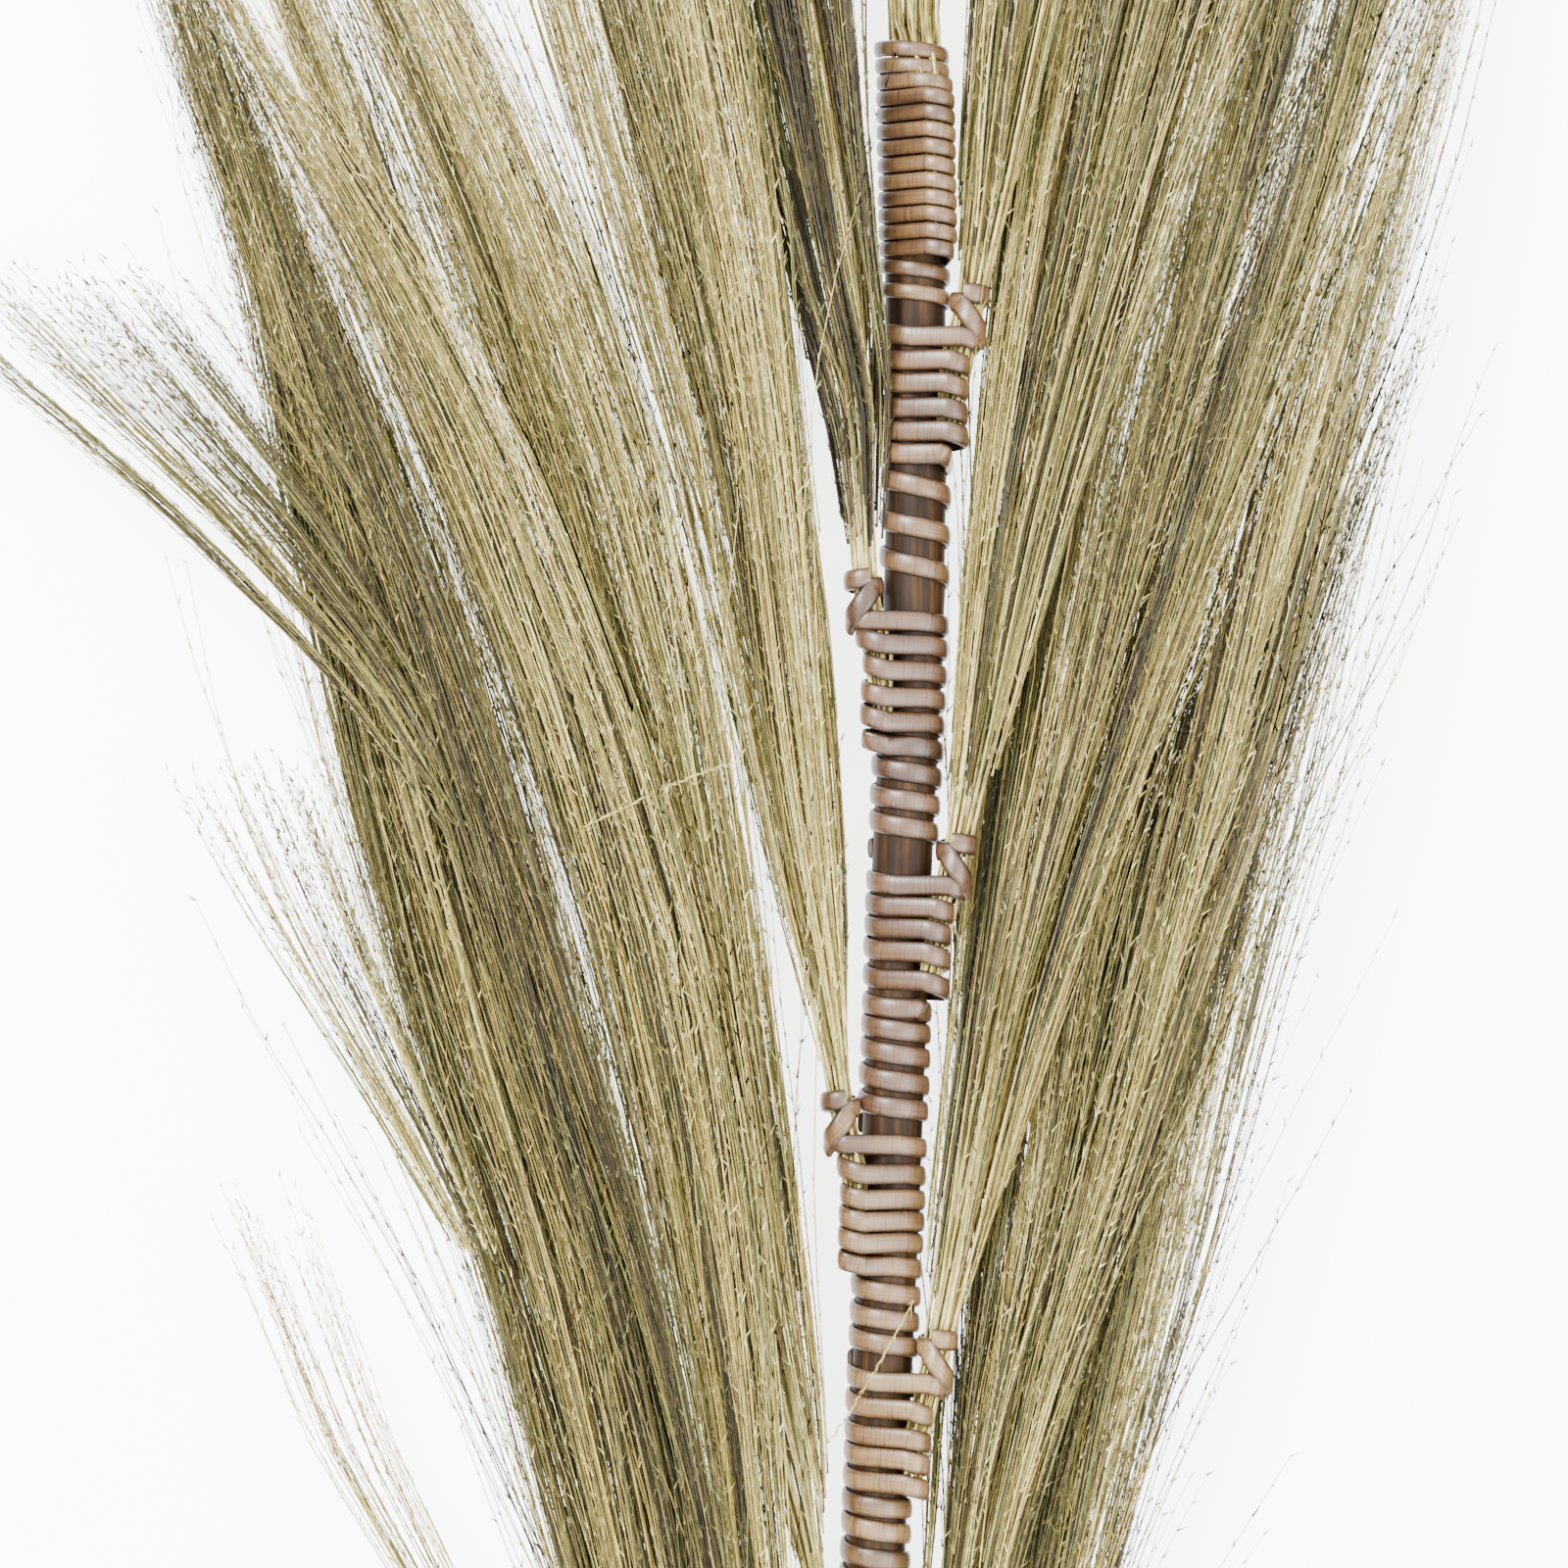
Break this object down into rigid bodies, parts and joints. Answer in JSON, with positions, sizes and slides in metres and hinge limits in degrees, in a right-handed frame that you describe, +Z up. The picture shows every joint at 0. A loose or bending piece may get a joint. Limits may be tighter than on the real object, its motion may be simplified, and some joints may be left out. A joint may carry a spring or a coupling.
{
  "type": "bundle of rayung grass tied to a cane rod",
  "caption": "Long dried rayung grass plumes tied in tufts up both sides of a slim cane rod with wound split rattan, lying flat.",
  "frame": {"origin": "on the surface the bundle lies on, under the middle of its bounding box", "axes": "+Y along the rod, from the bare handle towards the plume tips; +X to the right of the rod seen from above; +Z up, away from the surface"},
  "size_m": [0.4996, 1.5314, 0.0544],
  "materials": {
    "cane": "satin",
    "dried_grass": "matte",
    "split_rattan": "satin"
  },
  "bodies": {
    "root": {"cane_rod": "cane", "tuft_top": "dried_grass", "tuft_right_1": "dried_grass", "tuft_left_1": "dried_grass", "tuft_right_2": "dried_grass", "tuft_left_2": "dried_grass", "tuft_right_3": "dried_grass", "tuft_left_3": "dried_grass", "tuft_right_4": "dried_grass", "tuft_left_4": "dried_grass", "tuft_right_5": "dried_grass", "tuft_left_5": "dried_grass", "binding_top": "split_rattan", "binding_right_1": "split_rattan", "binding_left_1": "split_rattan", "binding_right_2": "split_rattan", "binding_left_2": "split_rattan", "binding_right_3": "split_rattan", "binding_left_3": "split_rattan", "binding_right_4": "split_rattan", "binding_left_4": "split_rattan", "binding_right_5": "split_rattan", "binding_left_5": "split_rattan", "collar_right_1": "split_rattan", "collar_left_1": "split_rattan", "collar_right_2": "split_rattan", "collar_left_2": "split_rattan", "collar_right_3": "split_rattan", "collar_left_3": "split_rattan", "collar_right_4": "split_rattan", "collar_left_4": "split_rattan", "collar_right_5": "split_rattan", "collar_left_5": "split_rattan"}
  },
  "joints": []
}
